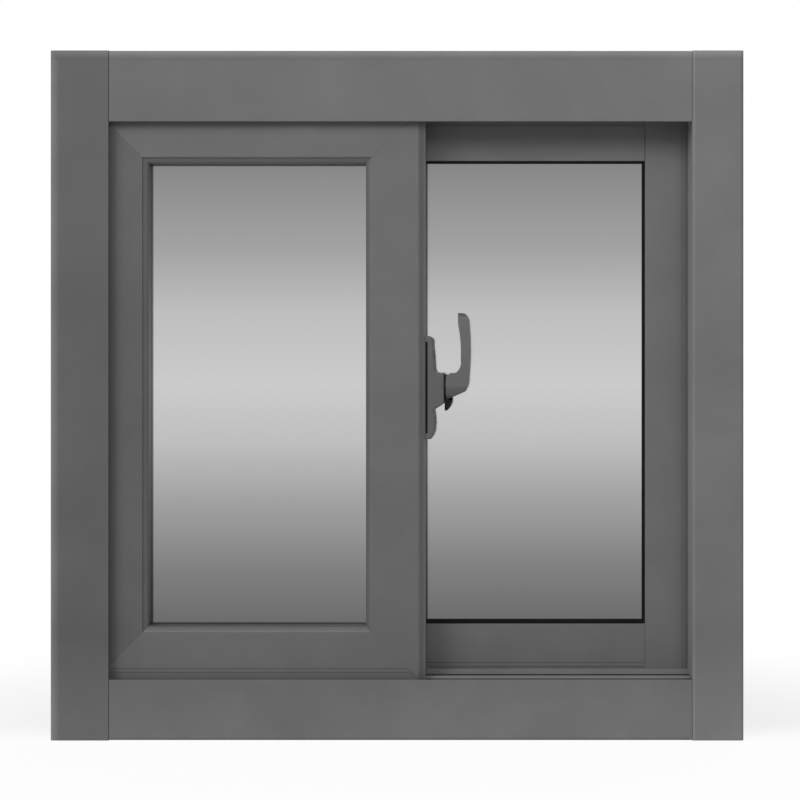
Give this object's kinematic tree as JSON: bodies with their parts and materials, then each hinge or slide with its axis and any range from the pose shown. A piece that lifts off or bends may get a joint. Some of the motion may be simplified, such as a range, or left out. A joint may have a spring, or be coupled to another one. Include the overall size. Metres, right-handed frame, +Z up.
{
  "type": "two-track horizontal sliding window",
  "caption": "Grey aluminium sliding window: a deep frame with two tracks, a front and a rear glazed sash, and a crescent lock.",
  "frame": {"origin": "middle of the frame's width and depth, at the underside of the sill", "axes": "+X along the tracks to the right as seen from the room, +Y from the room to the outside, +Z up"},
  "size_m": [0.6, 0.09, 0.597],
  "materials": {
    "frame_paint": "satin grey powder coat on extruded aluminium",
    "sash_paint": "satin grey powder coat on extruded aluminium",
    "glass": "satin grey tinted pane",
    "gasket": "matt black glazing gasket",
    "lock_pad": "matt black pad",
    "roller": "moulded nylon wheels",
    "carrier": "folded plated steel",
    "interlock": "extruded grey plastic",
    "lock_paint": "satin grey paint on die-cast zinc",
    "lock_steel": "dark plated steel"
  },
  "bodies": {
    "window": {"left_jamb": "frame_paint", "right_jamb": "frame_paint", "head": "frame_paint", "sill": "frame_paint", "right_jamb_cover": "frame_paint", "front_left_stile": "sash_paint", "front_meeting_stile": "sash_paint", "front_top_rail": "sash_paint", "front_bottom_rail": "sash_paint", "front_bead_left": "sash_paint", "front_bead_right": "sash_paint", "front_bead_top": "sash_paint", "front_bead_bottom": "sash_paint", "front_glass": "glass", "front_gasket": "gasket", "front_rollers": "roller", "front_roller_carriers": "carrier", "front_interlock": "interlock", "lock_base": "lock_paint", "lock_pad": "lock_pad", "rear_meeting_stile": "sash_paint", "rear_right_stile": "sash_paint", "rear_top_rail": "sash_paint", "rear_bottom_rail": "sash_paint", "rear_bead_left": "sash_paint", "rear_bead_right": "sash_paint", "rear_bead_top": "sash_paint", "rear_bead_bottom": "sash_paint", "rear_glass": "glass", "rear_gasket": "gasket", "rear_rollers": "roller", "rear_roller_carriers": "carrier", "rear_interlock": "interlock", "keeper": "lock_steel"},
    "lock_handle": {"lock_cam": "lock_steel", "lock_lever": "lock_paint", "lock_pin": "lock_steel"}
  },
  "joints": [
    {"name": "lock_turn", "type": "hinge", "parent": "window", "child": "lock_handle", "pos_m": [0.0412, -0.023, 0.3055], "axis": [1, 0, 0], "range_deg": [0, 180]}
  ]
}
